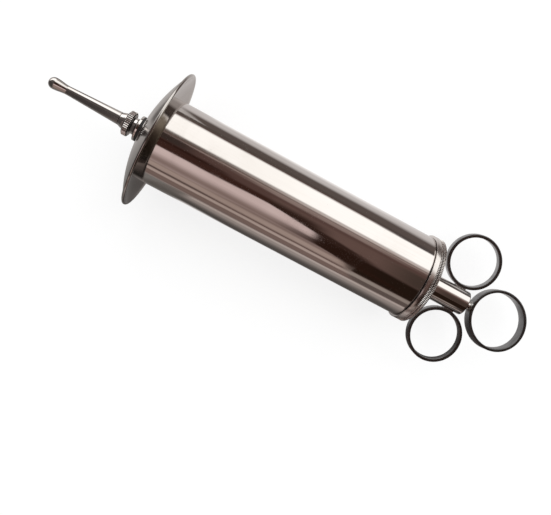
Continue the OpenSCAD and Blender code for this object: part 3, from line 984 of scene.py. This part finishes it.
def window_side(n, x, turn):
    """The window, its lintel and the dark below it, on a room that is dark elsewhere."""
    side = room_colour(n, turn, (0.12, 0.07, 0.06), [
        (23.5, 26.5, 1.0, (0.38, 0.30, 0.27)),
        (35.0, 84.0, 4.0, (1.50, 1.51, 1.48)),
        (89.0, 115.0, 3.0, (0.11, 0.09, 0.08)),
        (115.0, 185.0, 5.0, (0.62, 0.60, 0.59))])
    # The lintel is lighter towards the rear
    lintel = n.mix(n.span(x, -0.10, 0.34), (0.18, 0.15, 0.13), (0.78, 0.70, 0.66))
    side = n.mix(n.within(turn, 29.0, 34.0, 3.0), side, lintel)
    # The strip above it is lighter behind the middle and dark at the front
    over = n.times(n.within(turn, 18.0, 25.0, 3.0), n.span(x, 0.0, 0.18))
    side = n.mix(n.times(over, n.span(x, 0.52, 0.38, 0.2, 1.0)), side, (0.33, 0.25, 0.225))
    over = n.times(n.within(turn, 9.0, 25.0, 3.0), n.span(x, -0.02, -0.09))
    side = n.mix(over, side, (0.05, 0.035, 0.03))
    # The window's foot is higher towards the rear
    foot = n.times(n.within(turn, 82.5, 92.0, 3.0), n.span(x, 0.30, 0.46))
    return n.mix(foot, side, (0.10, 0.085, 0.08))


def wall_side(n, x, turn, side):
    """A dark beam overhead, the wall with its shaded foot, a shelf and the floor."""
    beam = [(-16.0, 3.0, 3.0, (0.055, 0.024, 0.018))]
    wall = [(-52.0, -12.0, 2.0, (0.78, 0.63, 0.61))]
    below = [
        (-54.0, -33.0, 11.0, (0.29, 0.21, 0.19)),
        (-67.0, -53.0, 4.0, (0.45, 0.35, 0.31)),
        (-80.0, -71.5, 2.5, (0.52, 0.42, 0.38)),
        (-92.0, -81.0, 2.0, (0.23, 0.165, 0.145)),
        (-112.0, -94.0, 4.0, (0.36, 0.30, 0.28)),
        (-125.0, -111.0, 5.0, (0.18, 0.15, 0.14)),
        (-185.0, -125.0, 4.0, (0.10, 0.09, 0.08))]
    # The wall's top edge is a little higher towards the rear
    wall_turn = n.plus(turn, n.span(x, -0.02, 0.16, 0.0, -3.5))
    front = room_colour(n, turn, side, beam)
    front = room_colour(n, wall_turn, front, wall)
    front = room_colour(n, turn, front, below)
    # The seam at its foot and the strip beside the beam are darkest at the front
    seam = n.times(n.within(turn, -70.0, -66.0, 1.5), n.span(x, 0.07, -0.02, 0.15, 1.0))
    front = n.mix(seam, front, (0.13, 0.095, 0.085))
    above = n.times(n.within(turn, 2.0, 9.0, 3.0), n.span(x, 0.08, 0.0))
    front = n.mix(above, front, (0.035, 0.014, 0.010))
    # The curtain's shadow on the wall grows towards the rear
    shadow = n.times(n.within(turn, -47.0, -34.0, 3.0), n.span(x, 0.15, 0.29))
    return n.mix(n.times(shadow, 0.8), front, (0.06, 0.035, 0.03))


def curtain_side(n, x, turn, side):
    """The same side at the rear, where a dark curtain takes the wall's place."""
    rear = room_colour(n, turn, side, [
        (-24.0, 11.0, 5.0, (0.16, 0.10, 0.085)),
        (-66.0, -24.0, 4.0, (0.022, 0.012, 0.008)),
        (-79.0, -67.0, 2.5, (0.36, 0.31, 0.28)),
        (-92.0, -79.0, 3.0, (0.14, 0.11, 0.10)),
        (-112.0, -93.0, 3.0, (0.34, 0.30, 0.28)),
        (-185.0, -112.0, 5.0, (0.14, 0.12, 0.11))])
    top = n.times(n.within(turn, -24.0, 11.0, 5.0), n.span(x, 0.40, 0.52))
    rear = n.mix(top, rear, (0.075, 0.052, 0.042))
    foot = n.times(n.within(turn, -82.0, -62.0, 3.0), n.span(x, 0.52, 0.55))
    return n.mix(foot, rear, (0.05, 0.04, 0.035))


def tent_colour(n):
    """The studio by direction: x along the syringe, and degrees round it from straight up."""
    unit = n.add("ShaderNodeVectorMath", operation="NORMALIZE")
    n.link(n.place(), unit.inputs[0])
    x, y, z = n.split(unit.outputs[0])
    turn = n.math("DEGREES", n.math("ARCTAN2", y, z))
    side = window_side(n, x, turn)
    front = wall_side(n, x, turn, side)
    rear = curtain_side(n, x, turn, side)
    # The curtain's edge lies farther to the rear at the foot of the wall and farther forward overhead
    edge = n.span(turn, -42.0, -54.0, 0.28, 0.355)
    edge = n.plus(edge, n.span(turn, -20.0, -6.0, 0.0, -0.12))
    beyond = n.math("SUBTRACT", x, edge)
    # Just behind its edge the curtain has a dark fold
    fold = n.times(n.span(beyond, 0.17, 0.09), n.span(turn, 11.0, -4.0))
    fold = n.times(fold, n.span(turn, -60.0, -50.0))
    rear = n.mix(n.times(fold, 0.9), rear, (0.028, 0.012, 0.008))
    colour = n.mix(n.span(beyond, -0.014, 0.010), front, rear)
    # Towards the nozzle the room is dark but for the window
    tip = room_colour(n, turn, colour, [
        (-185.0, 185.0, 1.0, (0.075, 0.066, 0.064)),
        (0.0, 36.0, 6.0, (0.13, 0.115, 0.11)),
        (47.0, 100.0, 4.0, (1.85, 1.85, 1.82)),
        (110.0, 185.0, 5.0, (0.30, 0.28, 0.27))])
    return n.mix(n.span(x, -0.22, -0.30), colour, tip)


def add_tent():
    """The studio round the table, which only the metal sees."""
    bpy.ops.object.select_all(action="DESELECT")
    bpy.ops.mesh.primitive_uv_sphere_add(segments=48, ring_count=24, radius=tent_r * MM)
    tent = bpy.context.active_object
    tent.name = tent.data.name = "studio_tent"
    bpy.ops.object.mode_set(mode="EDIT")
    bpy.ops.mesh.flip_normals()
    bpy.ops.object.mode_set(mode="OBJECT")
    metal_only(tent)
    mat, n, surface = bare_material("studio tent")
    mat.cycles.emission_sampling = "NONE"
    glow = n.add("ShaderNodeEmission")
    n.link(tent_colour(n), glow.inputs[0])
    n.link(glow.outputs[0], surface)
    tent.data.materials.append(mat)


def add_lamp():
    """A broad soft lamp high on the +Y side, for the matt surfaces and the shadow."""
    data = bpy.data.lights.new("window", "SUN")
    data.energy = 1.25
    data.angle = math.radians(50)
    lamp = bpy.data.objects.new("window", data)
    scene.collection.objects.link(lamp)
    towards = Vector((0.1, 0.75, 1.0)).normalized()
    lamp.rotation_mode = "QUATERNION"
    lamp.rotation_quaternion = towards.to_track_quat("Z", "Y")
    lamp.visible_glossy = False


def add_world():
    """White where the camera or the metal looks past the paper, and an even light on matt surfaces."""
    world = bpy.data.worlds.new("studio")
    scene.world = world
    world.use_nodes = True
    n = Nodes(world.node_tree)
    even = world.node_tree.nodes["Background"]
    even.inputs["Color"].default_value = (1, 1, 1, 1)
    even.inputs["Strength"].default_value = 0.65
    white = n.add("ShaderNodeBackground")
    white.inputs["Strength"].default_value = 1.0
    white.inputs["Color"].default_value = (1, 1, 1, 1)
    path = n.add("ShaderNodeLightPath")
    seen = n.math("MAXIMUM", path.outputs["Is Camera Ray"], path.outputs["Is Glossy Ray"])
    seen = n.math("MAXIMUM", seen, path.outputs["Is Transmission Ray"])
    pick = n.add("ShaderNodeMixShader")
    n.link(seen, pick.inputs[0])
    n.link(even.outputs[0], pick.inputs[1])
    n.link(white.outputs[0], pick.inputs[2])
    n.link(pick.outputs[0], world.node_tree.nodes["World Output"].inputs[0])


add_camera()
tube_wear = make_tube_wear()
band_wear = make_band_wear()
brass = brass_material()
solder = solder_material()
leather = leather_material()
inner_plate = plate_material("inner plate", 33.0, plate=DULL_STAIN, stain=INNER_STAIN, tarnish=0.9)

make_barrel()
make_shield()
make_outlet_collar()
make_washers()
make_nozzle()
make_grip()
make_cap()
make_guide()
make_rings()
make_plunger()

dress("front_head", inner_plate)
for node in ("ring_solder", "thumb_solder"):
    dress(node, solder)
for node in ("outlet_spigot", "piston_nut", "rod_collar"):
    dress(node, brass)
for node in ("piston_front_plate", "piston_centre_plate", "piston_rear_plate"):
    dress(node, brass)
for node in ("cap_gasket", "piston_cup_front", "piston_cup_rear"):
    dress(node, leather)

add_floor()
add_card()
add_tent()
add_lamp()
add_world()
